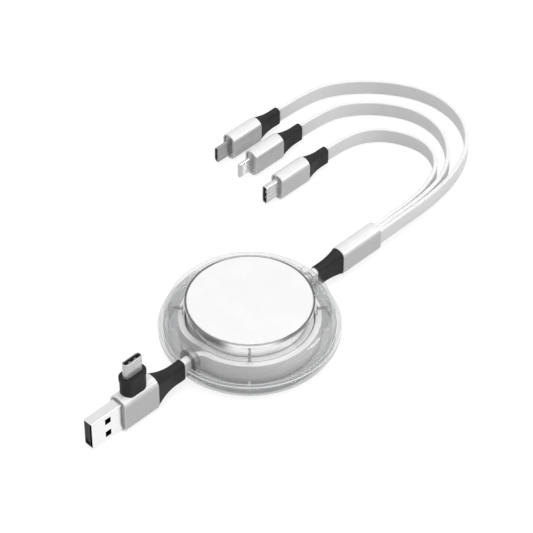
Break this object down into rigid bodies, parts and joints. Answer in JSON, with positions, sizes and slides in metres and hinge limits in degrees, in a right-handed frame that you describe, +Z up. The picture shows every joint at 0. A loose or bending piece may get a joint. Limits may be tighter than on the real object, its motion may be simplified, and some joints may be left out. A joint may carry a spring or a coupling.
{
  "type": "retractable charging cable",
  "caption": "Retractable charging cable: a clear round spring reel, a flat cord with a host plug and an upright plug on top, and flat leads with device plugs.",
  "frame": {"origin": "centre of the puck's round foot, on the surface it rests on", "axes": "+X along the cord from the puck to the leads, -X to the host plug, +Z up through the lid"},
  "size_m": [0.2239, 0.1134, 0.0292],
  "materials": {
    "clear_plastic": "clear, polished",
    "bright_chrome": "polished",
    "white_lid": "gloss",
    "white_cord": "soft satin",
    "white_spool": "satin",
    "spring_steel": "polished",
    "satin_aluminium": "satin",
    "grey_core": "matte",
    "black_relief": "matte",
    "plug_steel": "bright satin",
    "black_liner": "matte",
    "gold_contact": "polished"
  },
  "bodies": {
    "housing": {"base_tray": "clear_plastic", "clear_cover": "clear_plastic", "chrome_collar": "bright_chrome", "lid_disc": "white_lid", "host_port_guide": "clear_plastic", "leads_port_guide": "clear_plastic", "host_strand": "white_cord", "leads_strand": "white_cord", "latch_ball": "spring_steel"},
    "spool": {"spool_drum": "white_spool", "wound_cable": "white_cord", "mainspring": "spring_steel"},
    "host_end": {"host_sleeve": "satin_aluminium", "host_core": "grey_core", "host_relief": "black_relief", "host_neck": "white_cord", "host_tail": "white_cord", "a_plug_shell": "plug_steel", "a_plug_tongue": "black_liner", "a_plug_contacts": "gold_contact", "post_collar": "black_relief", "post_shell": "plug_steel", "post_liner": "black_liner", "post_contacts": "gold_contact"},
    "leads_end": {"leads_neck": "white_cord", "leads_tail": "white_cord", "micro_lead": "white_cord", "tab_lead": "white_cord", "usbc_lead": "white_cord", "splitter_sleeve": "satin_aluminium", "micro_sleeve": "satin_aluminium", "tab_sleeve": "satin_aluminium", "usbc_sleeve": "satin_aluminium", "splitter_core": "grey_core", "micro_core": "grey_core", "tab_core": "grey_core", "usbc_core": "grey_core", "splitter_relief": "black_relief", "micro_relief": "black_relief", "tab_relief": "black_relief", "usbc_relief": "black_relief", "usbc_shell": "plug_steel", "micro_shell": "plug_steel", "tab_blade": "plug_steel", "usbc_liner": "black_liner", "micro_liner": "black_liner", "usbc_contacts": "gold_contact", "tab_pads": "gold_contact"}
  },
  "joints": [
    {"name": "spool_turn", "type": "hinge", "parent": "housing", "child": "spool", "pos_m": [0, 0, 0], "axis": [0, 0, -1], "range_deg": [0, 1080], "stiffness_Nm_per_rad": 0.0008, "springref_deg": -859.44, "deforming": ["mainspring"]},
    {"name": "host_pull", "type": "slide", "parent": "housing", "child": "host_end", "axis": [-1, 0, 0], "range_m": [0, 0.32], "deforming": ["host_tail"]},
    {"name": "leads_pull", "type": "slide", "parent": "housing", "child": "leads_end", "axis": [1, 0, 0], "range_m": [0, 0.32], "deforming": ["leads_tail"]}
  ],
  "couplings": [
    {"joint": "host_pull", "follows": "spool_turn", "m_per_rad": 0.0168},
    {"joint": "leads_pull", "follows": "spool_turn", "m_per_rad": 0.0168}
  ]
}
